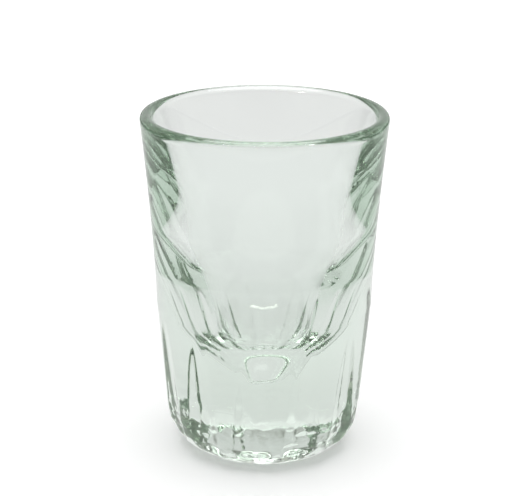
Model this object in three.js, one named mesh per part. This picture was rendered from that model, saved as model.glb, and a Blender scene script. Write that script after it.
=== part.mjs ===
// A small pressed drinking glass: a tapered cup over a thick, fluted solid foot.
// Millimetres, +Z up. The origin is the centre of the ring that the glass stands on.
import * as THREE from 'three';

// The lip
const height = 73; // whole glass, from the table to the top of the lip
const rimRadius = 25.6; // widest point of the glass, on the lip
const lipRound = 1.2; // round of the lip's outer edge

// The outside wall: straight below the waist, and flaring above it
const neckHeight = 70; // just under the lip
const neckRadius = 25.4;
const neckSlope = 0.1; // radius gained for each millimetre of height
const waistHeight = 32.5;
const waistRadius = 22.8;
const waistSlope = 0.035; // just above the waist

// The foot
const footRadius = 20.8; // wall at the top of the foot's round
const footRound = 8.4; // height of the round at the foot's bottom corner
const footReach = 7.8; // width of that round
const puntRadius = 11.8; // hollow under the foot
const puntDepth = 3.9;
const puntPower = 11; // a high power gives a flat hollow with a quick edge

// The flutes, each cut by a round bar that leans outwards as it rises
const fluteCount = 12;
const fluteTurn = -7.5; // degrees from the front to the middle of the nearest flute
const fluteTop = 30.5; // height where a flute runs out
const fluteDepth = 1.1; // depth at the table, before the heel thins it
const fluteBar = 14; // radius of the bar
const heelHeight = 3.2; // below it the flutes are nearly closed
const heelRise = 1.8; // height over which they open again
const heelShare = 0.2; // share of the depth that is left at the heel

// The cup's inside. A slope is the radius gained for each millimetre of height.
const mouthRadius = 22.8;
const mouthRound = 1.2; // round of the lip's inner edge
const mouthSlope = 0.26;
const throatHeight = 50; // where the upper wall is steepest
const throatRadius = 17.5;
const throatSlope = 0.18;
const bowlHeight = 28.5; // the crease where the wall turns into the bottom cone
const bowlRadius = 11.8;
const bowlSlope = 0.26; // wall just above the crease
const coneSlope = 0.6; // bottom cone just below the crease
const tipHeight = 17; // lowest point of the cup, over the table
const tipRound = 1.2; // height of the rounded tip
const tipRadius = 3; // radius where the rounded tip starts
const tipSlope = 0.95; // bottom cone where it meets the tip

// How finely the shape is divided
const stepsPerFlute = 8;
const stepsPerCurve = 3;
const puntSteps = 4;
const wallRows = 5; // rows of faces up the fluted wall

const standRadius = footRadius - footReach; // outer edge of the ring that meets the table

// Radius of the outside wall at a height above the foot's round, below the waist
function wallRadius(z) {
  return THREE.MathUtils.mapLinear(z, footRound, waistHeight, footRadius, waistRadius);
}

// Underside and outside, from the middle of the hollow to the top of the lip
function outsideOutline() {
  const outline = new THREE.Path();
  outline.moveTo(0, puntDepth);
  for (let step = 1; step <= puntSteps; step += 1) {
    const share = Math.sqrt(step / puntSteps); // closer together towards the edge
    outline.lineTo(puntRadius * share, puntDepth * (1 - share ** puntPower));
  }
  outline.lineTo(standRadius, 0);
  outline.absellipse(standRadius, footRound, footReach, footRound, -Math.PI / 2, 0, false);
  for (let row = 1; row <= wallRows; row += 1) {
    const z = THREE.MathUtils.lerp(footRound, fluteTop, row / wallRows);
    outline.lineTo(wallRadius(z), z);
  }
  outline.lineTo(waistRadius, waistHeight);
  const third = (neckHeight - waistHeight) / 3;
  outline.bezierCurveTo(
    waistRadius + waistSlope * third, waistHeight + third,
    neckRadius - neckSlope * third, neckHeight - third,
    neckRadius, neckHeight,
  );
  outline.lineTo(rimRadius, height - lipRound);
  outline.absarc(rimRadius - lipRound, height - lipRound, lipRound, 0, Math.PI / 2, false);
  return outline.getPoints(stepsPerCurve);
}

// One stretch of the cup's wall, down from one height to another
function addWall(outline, from, to) {
  const third = (from.height - to.height) / 3;
  outline.bezierCurveTo(
    from.radius - from.slope * third, from.height - third,
    to.radius + to.slope * third, to.height + third,
    to.radius, to.height,
  );
}

// Inside, from the top of the lip down to the tip on the axis
function insideOutline() {
  const mouth = { height: height - mouthRound, radius: mouthRadius, slope: mouthSlope };
  const throat = { height: throatHeight, radius: throatRadius, slope: throatSlope };
  const aboveCrease = { height: bowlHeight, radius: bowlRadius, slope: bowlSlope };
  const belowCrease = { ...aboveCrease, slope: coneSlope };
  const tip = { height: tipHeight + tipRound, radius: tipRadius, slope: tipSlope };
  const outline = new THREE.Path();
  outline.moveTo(mouthRadius + mouthRound, height);
  outline.absarc(mouthRadius + mouthRound, mouth.height, mouthRound, Math.PI / 2, Math.PI, false);
  addWall(outline, mouth, throat);
  addWall(outline, throat, aboveCrease);
  addWall(outline, belowCrease, tip);
  outline.absellipse(0, tip.height, tipRadius, tipRound, 0, -Math.PI / 2, true, 0);
  return outline.getPoints(stepsPerCurve);
}

// Radius of the fluted wall at a height and an angle, where the plain wall has bodyRadius
function flutedRadius(bodyRadius, z, angle) {
  const pitch = (2 * Math.PI) / fluteCount;
  const turn = angle - THREE.MathUtils.degToRad(fluteTurn);
  const offset = turn - pitch * Math.round(turn / pitch);
  const open = THREE.MathUtils.smoothstep(z, heelHeight, heelHeight + heelRise);
  const share = THREE.MathUtils.lerp(heelShare, 1, open);
  const barCentre = bodyRadius - fluteDepth * (1 - z / fluteTop) * share + fluteBar;
  const across = barCentre * Math.sin(offset);
  if (Math.abs(across) >= fluteBar) return bodyRadius;
  const floor = barCentre * Math.cos(offset) - Math.sqrt(fluteBar ** 2 - across ** 2);
  return Math.min(bodyRadius, floor);
}

// Moves the points of the lathe's outside wall in to the flutes
function carveFlutes(lathe, outlineLength, outsideLength, segments) {
  const position = lathe.getAttribute('position');
  for (let segment = 0; segment <= segments; segment += 1) {
    const angle = (2 * Math.PI * segment) / segments;
    for (let point = 0; point < outsideLength; point += 1) {
      const index = segment * outlineLength + point;
      const bodyRadius = Math.hypot(position.getX(index), position.getZ(index));
      const z = position.getY(index);
      if (bodyRadius < standRadius - 0.01 || z >= fluteTop) continue;
      const radius = flutedRadius(bodyRadius, z, angle);
      position.setXYZ(index, radius * Math.sin(angle), z, radius * Math.cos(angle));
    }
  }
}

function glassGeometry() {
  const outside = outsideOutline();
  const inside = insideOutline();
  inside[inside.length - 1].x = 0; // exactly on the axis
  const outline = [...outside, ...inside];
  const segments = fluteCount * stepsPerFlute;
  const lathe = new THREE.LatheGeometry(outline, segments);
  carveFlutes(lathe, outline.length, outside.length, segments);
  return lathe.rotateX(Math.PI / 2);
}

const clearGlass = new THREE.MeshStandardMaterial({
  color: 0xdce8e0,
  roughness: 0.03,
  metalness: 0,
  transparent: true,
  opacity: 0.35,
});

const glassBody = new THREE.Mesh(glassGeometry(), clearGlass);
glassBody.name = 'glass_body';

const glass = new THREE.Group();
glass.add(glassBody);
export default glass;
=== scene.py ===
import math

import bmesh
import bpy
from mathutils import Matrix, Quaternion, Vector


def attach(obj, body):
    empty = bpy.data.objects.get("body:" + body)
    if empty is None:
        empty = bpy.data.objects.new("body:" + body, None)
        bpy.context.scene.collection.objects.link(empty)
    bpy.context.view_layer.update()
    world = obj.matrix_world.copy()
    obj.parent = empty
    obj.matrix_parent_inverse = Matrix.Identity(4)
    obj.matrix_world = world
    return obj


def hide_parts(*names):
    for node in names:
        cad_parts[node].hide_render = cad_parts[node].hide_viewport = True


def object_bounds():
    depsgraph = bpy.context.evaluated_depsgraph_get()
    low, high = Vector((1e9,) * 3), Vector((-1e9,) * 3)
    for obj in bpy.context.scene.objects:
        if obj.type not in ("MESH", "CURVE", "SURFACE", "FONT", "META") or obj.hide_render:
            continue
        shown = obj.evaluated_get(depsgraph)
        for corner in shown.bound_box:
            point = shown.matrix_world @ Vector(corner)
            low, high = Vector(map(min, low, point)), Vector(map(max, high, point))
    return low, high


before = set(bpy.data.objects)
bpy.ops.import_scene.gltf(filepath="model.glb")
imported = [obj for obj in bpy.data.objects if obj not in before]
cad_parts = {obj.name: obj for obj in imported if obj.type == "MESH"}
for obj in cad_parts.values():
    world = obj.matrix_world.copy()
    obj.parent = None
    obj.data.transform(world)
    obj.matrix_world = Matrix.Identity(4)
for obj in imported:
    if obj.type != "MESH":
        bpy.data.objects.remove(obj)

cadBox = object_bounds()
mm = 0.001


# Shader maths

class Wire:
    # A shader socket. Sums on it make Math nodes, and node() makes any other kind.
    def __init__(self, tree, socket=None):
        self.tree = tree
        self.socket = socket

    def feed(self, target, value):
        if isinstance(value, Wire):
            self.tree.links.new(value.socket, target)
        else:
            target.default_value = value

    def node(self, kind, inputs, output=0, **settings):
        made = self.tree.nodes.new(kind)
        for name, value in settings.items():
            setattr(made, name, value)
        for name, value in inputs.items():
            self.feed(made.inputs[name], value)
        return Wire(self.tree, made.outputs[output])

    def output(self, kind, **shaders):
        made = self.tree.nodes.new(kind)
        for name, shader in shaders.items():
            self.feed(made.inputs[name], shader)

    def math(self, operation, *values):
        inputs = dict(enumerate(values))
        return self.node("ShaderNodeMath", inputs, operation=operation)

    def __add__(self, other):
        return self.math("ADD", self, other)

    def __sub__(self, other):
        return self.math("SUBTRACT", self, other)

    def __rsub__(self, other):
        return self.math("SUBTRACT", other, self)

    def __mul__(self, other):
        return self.math("MULTIPLY", self, other)

    def __truediv__(self, other):
        return self.math("DIVIDE", self, other)

    def above(self, limit):
        return self.math("GREATER_THAN", self, limit)

    def below(self, limit):
        return self.math("LESS_THAN", self, limit)

    def larger(self, other):
        return self.math("MAXIMUM", self, other)

    def ramp(self, start, end, low, high):
        inputs = {0: self, 1: start, 2: end, 3: low, 4: high}
        return self.node("ShaderNodeMapRange", inputs, interpolation_type="SMOOTHSTEP")

    __radd__ = __add__
    __rmul__ = __mul__


white = (1, 1, 1, 1)


def emptyMaterial(name):
    material = bpy.data.materials.new(name)
    material.use_nodes = True
    material.node_tree.nodes.clear()
    return material, Wire(material.node_tree)


def splitVector(wire, vector):
    return [wire.node("ShaderNodeSeparateXYZ", {0: vector}, output=axis) for axis in range(3)]


def levelDistance(x, y, least=None):
    # Distance from the upright axis. A least value keeps a division by it safe.
    squares = x * x + y * y
    return x.math("SQRT", squares if least is None else squares + least)


# The glass, in millimetres

glass = {
    "height": cadBox[1][2] / mm,
    "rimRadius": cadBox[1][0] / mm,
    "lipRound": 1.2,  # round of the lip's outer edge
    "lipSwell": 1.0,  # height over which the wall widens to the lip
    "mouthRound": 1.2,  # round of the lip's inner edge
    "neckHeight": 70.0,
    "neckRadius": 25.42,
    "neckPower": 1.46,  # more than 1 keeps most of the flare near the top
    "waistHeight": 32.5,
    "waistRadius": 22.84,
    "footRadius": 20.1,  # where the wall would meet the table without the foot's round
    "footRound": 8.4,  # height of that round
    "footReach": 7.8,  # width of it
    "puntRadius": 11.8,  # hollow under the foot
    "puntDepth": 3.9,
    "puntPower": 11,  # a high power gives a flat hollow with a quick edge
    "tipHeight": 17.0,  # lowest point of the cup
    "cup": [
        # Height and radius, then the slope just above and just below
        (71.7, 22.8, 0.25, 0.25),
        (60.0, 19.8, 0.26, 0.26),
        (50.0, 17.5, 0.18, 0.18),
        (31.0, 12.42, 0.26, 0.26),
        (26.5, 10.55, 0.66, 0.66),
        (18.2, 3.0, 0.95, 0.95),
    ],
}

# The flutes, each cut by a round bar that leans outwards as it rises
flutes = {
    "count": 12,
    "turn": math.radians(-7.5),
    "top": 30.5,  # height where a flute runs out
    "fade": 1.5,  # height over which the bar then leaves the wall
    "leave": 3.0,  # how far off the wall it would be a flute's length further up
    "depth": 0.8,
    "power": 0.8,  # less than 1 keeps the depth high up the wall
    "heelHeight": 3.2,  # below it the flutes are nearly closed
    "heelRise": 1.8,  # height over which they open again
    "heelShare": 0.2,  # share of the depth that is left at the heel
    "bar": 14.0,  # radius of the bar
    "blend": 0.12,  # softness of the ridge between two flutes
    "slack": 0.001,  # how far inside the wall a point still counts as on it
}

# Uneven chilling of the foot, which only ever goes inwards from the true shape
chilling = {
    "depth": 0.3,
    "low": 2.0,  # full above this height
    "top": 10.0,  # gone at this height
    "fade": 3.0,  # height over which it goes
    "middle": 0.5,  # share of the depth that is there between the waves
    "waves": [
        # Share of the depth, then two crossing waves: turns, climb and shift
        (0.3, (7, 0.9, 0.0), (5, -1.3, 1.0)),
        (0.2, (17, 0.7, 2.0), (11, -1.7, 0.0)),
    ],
}

# How finely the glass is divided
fineness = {
    "flute": 20,  # steps round each flute
    "hollow": 26,
    "foot": 18,
    "flutedWall": 66,
    "flutedMargin": 2.0,  # how far the fine rows go past the flutes, in millimetres
    "plainWall": 40,
    "swell": 12,
    "swellMargin": 1.0,  # how far below the swell its fine rows start
    "lip": 9,
    "cup": 110,
    "tip": 10,
    "join": 0.0005,  # points closer than this are one, in millimetres
}


def mix(low, high, share):
    return low + (high - low) * share


def smoothStep(share):
    share = min(max(share, 0.0), 1.0)
    return share * share * (3 - 2 * share)


def smoothMin(first, second, blend):
    share = min(max(0.5 + 0.5 * (first - second) / blend, 0.0), 1.0)
    return mix(first, second, share) - blend * share * (1 - share)


def plainRadius(z):
    # The outside wall before the flutes are cut
    g = glass
    lipCentre = g["height"] - g["lipRound"]
    if z > lipCentre:
        reach = math.sqrt(max(g["lipRound"] ** 2 - (z - lipCentre) ** 2, 0.0))
        return g["rimRadius"] - g["lipRound"] + reach
    if z > g["waistHeight"]:
        rise = (z - g["waistHeight"]) / (g["neckHeight"] - g["waistHeight"])
        wall = mix(g["waistRadius"], g["neckRadius"], rise ** g["neckPower"])
        return mix(wall, g["rimRadius"], smoothStep(1 - (lipCentre - z) / g["lipSwell"]))
    wall = mix(g["footRadius"], g["waistRadius"], z / g["waistHeight"])
    if z < g["footRound"]:
        drop = 1 - z / g["footRound"]
        return wall - g["footReach"] * (1 - math.sqrt(max(1 - drop ** 2, 0.0)))
    return wall


def flutedRadius(angle, z):
    f = flutes
    plain = plainRadius(z)
    if z > f["top"] + f["fade"]:
        return plain
    drop = (f["top"] - z) / (f["top"] - glass["footRound"])
    if drop > 0:
        share = mix(f["heelShare"], 1.0, smoothStep((z - f["heelHeight"]) / f["heelRise"]))
        bottom = plain - f["depth"] * drop ** f["power"] * share
    else:
        bottom = plain - f["leave"] * drop
    pitch = 2 * math.pi / f["count"]
    offset = (angle - f["turn"] + pitch / 2) % pitch - pitch / 2
    centre = bottom + f["bar"]
    reach = f["bar"] ** 2 - (centre * math.sin(offset)) ** 2
    cut = centre * math.cos(offset) - math.sqrt(max(reach, 0.0))
    return smoothMin(plain, cut, f["blend"]) - footWaves(angle, z)


def footWaves(angle, z):
    c = chilling
    band = smoothStep(z / c["low"]) * smoothStep((c["top"] - z) / c["fade"])

    def ripple(turns, climb, shift):
        return math.sin(turns * angle + climb * z + shift)

    depth = c["middle"]
    for share, first, second in c["waves"]:
        depth += share * (ripple(*first) * ripple(*second))
    return c["depth"] * band * depth


def cupRadius(z):
    g = glass
    lastHeight, lastRadius = g["cup"][-1][:2]
    if z < lastHeight:
        rise = (z - g["tipHeight"]) / (lastHeight - g["tipHeight"])
        return lastRadius * math.sqrt(max(1 - (1 - rise) ** 2, 0.0))
    topHeight, topRadius, topSlope, _ = g["cup"][0]
    radius = topRadius + topSlope * (z - topHeight)
    for upper, lower in zip(g["cup"], g["cup"][1:]):
        if lower[0] <= z <= upper[0]:
            radius = curveRadius(upper, lower, z)
    roundCentre = g["height"] - g["mouthRound"]
    if z > roundCentre:
        radius += g["mouthRound"] - math.sqrt(max(g["mouthRound"] ** 2 - (z - roundCentre) ** 2, 0.0))
    return radius


def curveRadius(upper, lower, z):
    # A Bezier curve from one point of the cup's wall down to the next
    upperHeight, upperRadius, _, below = upper
    lowerHeight, lowerRadius, above, _ = lower
    drop = upperHeight - lowerHeight
    t = (upperHeight - z) / drop
    first = upperRadius - below * drop / 3
    second = lowerRadius + above * drop / 3
    ends = (1 - t) ** 3 * upperRadius, t ** 3 * lowerRadius
    return ends[0] + 3 * (1 - t) ** 2 * t * first + 3 * (1 - t) * t * t * second + ends[1]


def spread(start, end, count):
    return [mix(start, end, (step + 1) / count) for step in range(count)]


def glassOutline():
    # Half a section, from the middle of the hollow under the foot round to the tip of the cup
    g = glass
    points = [(0.0, g["puntDepth"])]
    for share in spread(0.0, 1.0, fineness["hollow"]):
        points.append((g["puntRadius"] * share, g["puntDepth"] * (1 - share ** g["puntPower"])))
    points.append((plainRadius(0.0), 0.0))
    for turn in spread(0.0, math.pi / 2, fineness["foot"]):
        z = g["footRound"] * (1 - math.cos(turn))
        points.append((plainRadius(z), z))
    fineEnd = flutes["top"] + fineness["flutedMargin"]
    lipCentre = g["height"] - g["lipRound"]
    swellStart = lipCentre - g["lipSwell"] - fineness["swellMargin"]
    heights = spread(g["footRound"], fineEnd, fineness["flutedWall"])
    heights += spread(fineEnd, swellStart, fineness["plainWall"])
    heights += spread(swellStart, lipCentre, fineness["swell"])
    points += [(plainRadius(z), z) for z in heights]
    for turn in spread(0.0, math.pi / 2, fineness["lip"]):
        z = g["height"] - g["lipRound"] + g["lipRound"] * math.sin(turn)
        points.append((plainRadius(z), z))
    for turn in reversed(spread(0.0, math.pi / 2, fineness["lip"])):
        z = g["height"] - g["mouthRound"] + g["mouthRound"] * math.sin(turn)
        points.append((cupRadius(z), z))
    coneEnd = g["cup"][-1][0]
    cupHeights = spread(g["height"] - g["mouthRound"], coneEnd, fineness["cup"])
    points += [(cupRadius(z), z) for z in cupHeights]
    for share in spread(0.0, 1.0, fineness["tip"]):
        z = mix(g["tipHeight"], coneEnd, (1 - share) ** 2)
        points.append((cupRadius(z) if share < 1 else 0.0, z))
    return points


def carveFlutes(shape):
    for vertex in shape.verts:
        radius = math.hypot(vertex.co.x, vertex.co.y) / mm
        z = vertex.co.z / mm
        if radius < plainRadius(z) - flutes["slack"] or z > flutes["top"] + flutes["fade"]:
            continue
        angle = math.atan2(vertex.co.x, -vertex.co.y)
        carved = flutedRadius(angle, z) / radius
        vertex.co.x *= carved
        vertex.co.y *= carved


def glassMesh():
    outline = glassOutline()
    shape = bmesh.new()
    points = [shape.verts.new((radius * mm, 0.0, z * mm)) for radius, z in outline]
    edges = [shape.edges.new(pair) for pair in zip(points, points[1:])]
    steps = flutes["count"] * fineness["flute"]
    bmesh.ops.spin(shape, geom=points + edges, cent=(0, 0, 0), axis=(0, 0, 1),
                   angle=2 * math.pi, steps=steps, use_merge=True)
    bmesh.ops.remove_doubles(shape, verts=shape.verts, dist=fineness["join"] * mm)
    carveFlutes(shape)
    bmesh.ops.recalc_face_normals(shape, faces=shape.faces)
    if shape.calc_volume(signed=True) < 0:
        bmesh.ops.reverse_faces(shape, faces=shape.faces)
    mesh = bpy.data.meshes.new("glass")
    shape.to_mesh(mesh)
    print("glass:", len(outline), "points,", len(shape.faces), "faces,", shape.calc_volume(), "m3")
    shape.free()
    mesh.shade_smooth()
    return mesh


def buildGlass():
    mesh = glassMesh()
    mesh.materials.append(clearGlass())
    piece = bpy.data.objects.new("glass", mesh)
    bpy.context.scene.collection.objects.link(piece)
    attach(piece, "root")
    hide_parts("glass_body")


# The glass as a material, in metres
finish = {
    "colour": (0.927, 0.945, 0.935, 1),
    "ior": 1.52,
    "tint": (0.0, 0.357, 0.054, 1),  # faint green of a thick wall
    "tintDensity": 5.6,
    "waves": 0.000002,  # height of the long soft waves in the surface
    "waveScale": 160.0,
    "chill": 120.0,  # height of the finer ones at the foot, against the long ones
    "chillScale": 350.0,
    "chillLow": 0.009,  # full below this height
    "chillTop": 0.016,  # gone at this height
    "chillInner": 0.0135,  # none inside this radius
    "chillOuter": 0.016,  # full outside this radius
    "detail": 1.0,
}


def clearGlass():
    m = finish
    material, wire = emptyMaterial("pressed_glass")
    place = wire.node("ShaderNodeTexCoord", {}, output="Object")
    x, y, z = splitVector(wire, place)
    radius = levelDistance(x, y)
    waves = noise(wire, place, m["waveScale"])
    chill = noise(wire, place, m["chillScale"])
    foot = z.ramp(m["chillLow"], m["chillTop"], m["chill"], 0.0)
    foot = foot * radius.ramp(m["chillInner"], m["chillOuter"], 0.0, 1.0)
    height = waves + chill * foot
    bump = wire.node("ShaderNodeBump", {"Strength": 1.0, "Distance": m["waves"], "Height": height})
    glassShader = wire.node("ShaderNodeBsdfPrincipled", {
        "Base Color": m["colour"], "Roughness": 0.0, "IOR": m["ior"],
        "Transmission Weight": 1.0, "Normal": bump})
    tint = wire.node("ShaderNodeVolumeAbsorption", {"Color": m["tint"], "Density": m["tintDensity"]})
    wire.output("ShaderNodeOutputMaterial", Surface=glassShader, Volume=tint)
    return material


def noise(wire, place, scale):
    inputs = {"Vector": place, "Scale": scale, "Detail": finish["detail"]}
    return wire.node("ShaderNodeTexNoise", inputs)


# The floor, white to the camera. The glass shows it as a glowing sheet of paper with a painted
# shadow of the glass round its foot, and with a darker table past the sheet's edges.

floor = {
    "size": 6.0,
    "place": -0.0001,  # just under the glass
    "colour": (0.9, 0.9, 0.9, 1),
    "centre": (0, 0.01, 0),  # of the painted shadow that shows through the glass
    "paintedShadow": 0.88,  # painted shadow: the shade right at the glass
    "far": 0.98,  # shade a little further out
    "rise": (0.03, 0.09),  # distances between which the painted shadow fades to the far shade
    "deep": 0.87,  # shade beyond that
    "fall": (0.10, 0.20),  # distances between which it goes from far to deep
    "side": 0.21,  # the paper's edges
    "front": -0.21,
    "back": 0.60,
    "edge": 0.06,  # softness of the edges
    "beyond": 0.9,  # share of the light that a mirror image loses off the paper
    "lift": (0.12, 1.0),  # light added in the camera's own view, near and far
    "liftRise": (0.2, 0.8),
}


def lightPath(wire):
    # Which rays look: the camera's, those that come from glass, those that were mirrored,
    # and how often they were
    path = wire.tree.nodes.new("ShaderNodeLightPath")
    direct = Wire(wire.tree, path.outputs["Is Camera Ray"])
    glossy = Wire(wire.tree, path.outputs["Is Glossy Ray"])
    through = Wire(wire.tree, path.outputs["Is Transmission Ray"])
    mirrors = Wire(wire.tree, path.outputs["Glossy Depth"])
    return direct, glossy.larger(through), mirrors.above(0.5), mirrors


def floorPaper():
    f = floor
    material, wire = emptyMaterial("floor_paper")
    place = wire.node("ShaderNodeTexCoord", {}, output="Object")
    x, y, _ = splitVector(wire, place)
    away = wire.node("ShaderNodeVectorMath", {0: place, 1: f["centre"]}, output="Value",
                     operation="DISTANCE")
    direct, fromGlass, mirrored, _ = lightPath(wire)
    # Painted shadow of the glass on the sheet: darker near the glass, then darker again further out
    shade = away.ramp(*f["rise"], f["paintedShadow"], f["far"])
    shade = shade - away.ramp(*f["fall"], 0.0, f["far"] - f["deep"])
    sides = x.math("ABSOLUTE", x).ramp(f["side"] - f["edge"], f["side"] + f["edge"], 1.0, 0.0)
    front = y.ramp(f["front"] - f["edge"], f["front"] + f["edge"], 0.0, 1.0)
    onPaper = sides * front * y.below(f["back"])
    strength = shade * (1 - mirrored * (1 - onPaper) * f["beyond"])
    seen = wire.node("ShaderNodeEmission", {"Color": white, "Strength": strength})
    lit = wire.node("ShaderNodeBsdfDiffuse", {"Color": f["colour"]})
    glow = direct * away.ramp(*f["liftRise"], *f["lift"])
    lift = wire.node("ShaderNodeEmission", {"Color": white, "Strength": glow})
    paper = wire.node("ShaderNodeAddShader", {0: lit, 1: lift})
    shader = wire.node("ShaderNodeMixShader", {0: fromGlass, 1: paper, 2: seen})
    wire.output("ShaderNodeOutputMaterial", Surface=shader)
    return material


def buildFloor():
    shape = bmesh.new()
    bmesh.ops.create_grid(shape, x_segments=1, y_segments=1, size=floor["size"] / 2)
    mesh = bpy.data.meshes.new("floor")
    shape.to_mesh(mesh)
    shape.free()
    sheet = bpy.data.objects.new("floor", mesh)
    sheet.location.z = floor["place"]
    bpy.context.scene.collection.objects.link(sheet)
    mesh.materials.append(floorPaper())
    print("floor:", floor["size"], "m wide")


# The lamp overhead

overhead = {
    "height": 1.05,
    "size": 1.1,
    "power": 9.0,
}


def buildLamp():
    data = bpy.data.lights.new("overhead", "AREA")
    data.shape = "DISK"
    data.size = overhead["size"]
    data.energy = overhead["power"]
    lamp = bpy.data.objects.new("overhead", data)
    lamp.location.z = overhead["height"]
    bpy.context.scene.collection.objects.link(lamp)
    print("lamp:", overhead["power"], "W at", overhead["height"], "m")


# The room, which only mirrored rays see. Its bent lamp is in front, above the camera.

room = {
    "fill": 0.55,  # the plain light that falls on matt surfaces
    "dark": 0.16,  # the room's walls
    "warm": 0.4,  # how much of the warm colour they take
    "warmColour": (0.9, 0.95, 0.7, 1),
    "backdrop": 0.78,  # a pale backdrop behind the table
    "backdropTop": math.radians(37),
    "backdropEdge": math.radians(12),
    "backdropSide": math.radians(50),
    "sideEdge": 0.3,
    "skirt": 0.6,  # a pale band low down all round
    "skirtTop": 0.45,
    "skirtEdge": 0.1,
    "bar": 160.0,  # the bent lamp, mirrored once
    "barDeep": 20.0,  # the same mirrored more often
    "barRise": math.radians(39.8),
    "barWide": 0.008,
    "barLong": 0.85,
    "hump": 0.045,  # how much higher the lamp is in its middle
    "humpLong": 0.55,
    "least": 0.000001,  # keeps a division safe straight up
}


def bentLamp(x, y, z, level, mirrors):
    r = room
    turn = x.math("ABSOLUTE", x / level)
    hump = turn.ramp(0.0, r["humpLong"], r["hump"], 0.0)
    rise = z / level - hump - math.tan(r["barRise"])
    alongBar = turn.below(r["barLong"])
    acrossBar = x.math("ABSOLUTE", rise).below(r["barWide"])
    return alongBar * acrossBar * y.below(0.0) * mirrors.ramp(1, 2, r["bar"], r["barDeep"])


def buildWorld():
    # White to the camera and straight through the glass, and the room where light is mirrored
    r = room
    world = bpy.data.worlds.new("studio")
    bpy.context.scene.world = world
    world.use_nodes = True
    world.node_tree.nodes.clear()
    wire = Wire(world.node_tree)
    direction = wire.node("ShaderNodeTexCoord", {}, output="Generated")
    x, y, z = splitVector(wire, direction)
    direct, fromGlass, mirrored, mirrors = lightPath(wire)
    top, edge = r["backdropTop"], r["backdropEdge"]
    low = z.ramp(math.sin(top - edge), math.sin(top + edge), 1.0, 0.0)
    level = levelDistance(x, y, r["least"])
    side = math.cos(r["backdropSide"])
    behind = (y / level).ramp(side - r["sideEdge"], side + r["sideEdge"], 0.0, 1.0)
    pale = low * behind
    shade = pale * (r["backdrop"] - r["dark"]) + bentLamp(x, y, z, level, mirrors) + r["dark"]
    skirt = z.ramp(r["skirtTop"] - r["skirtEdge"], r["skirtTop"] + r["skirtEdge"], r["skirt"], 0.0)
    seen = mirrored * (shade.larger(skirt) - 1) + 1
    strength = (fromGlass * (seen - r["fill"]) + r["fill"]).larger(direct)
    warm = mirrored * (1 - pale) * r["warm"]
    colour = wire.node("ShaderNodeMix", {0: warm, 6: white, 7: r["warmColour"]},
                       output=2, data_type="RGBA")
    light = wire.node("ShaderNodeBackground", {"Color": colour, "Strength": strength})
    wire.output("ShaderNodeOutputWorld", Surface=light)
    print("world:", len(world.node_tree.nodes), "nodes")


# The camera

camera = {
    "distance": 0.340,
    "elevation": math.radians(19.74),
    "roll": math.radians(0.21),
    "pixelsPerMm": 4.711,
    "frameWidth": 512,
    "sensor": 36.0,
    "shiftX": -0.0159,
    "shiftY": 0.0615,
    "nearest": 0.01,
    "furthest": 20.0,
}


def buildCamera():
    c = camera
    data = bpy.data.cameras.new("camera")
    holder = bpy.data.objects.new("camera", data)
    bpy.context.scene.collection.objects.link(holder)
    away = Vector((0, -math.cos(c["elevation"]), math.sin(c["elevation"])))
    holder.location = Vector((0, 0, cadBox[1][2] / 2)) + away * c["distance"]
    facing = away.to_track_quat("Z", "Y") @ Quaternion((0, 0, 1), c["roll"])
    holder.rotation_euler = facing.to_euler()
    data.sensor_width = c["sensor"]
    data.lens = c["pixelsPerMm"] * c["distance"] / mm / c["frameWidth"] * c["sensor"]
    data.shift_x = c["shiftX"]
    data.shift_y = c["shiftY"]
    data.clip_start = c["nearest"]
    data.clip_end = c["furthest"]
    bpy.context.scene.camera = holder
    print("camera:", round(data.lens, 1), "mm lens,", c["distance"], "m away")


bounces = 24  # light crosses many faces in thick glass

scene = bpy.context.scene
scene.view_settings.view_transform = "Standard"
scene.cycles.max_bounces = bounces
scene.cycles.transmission_bounces = bounces
scene.cycles.glossy_bounces = bounces
print("settings:", bounces, "bounces")

buildCamera()
buildGlass()
buildFloor()
buildLamp()
buildWorld()
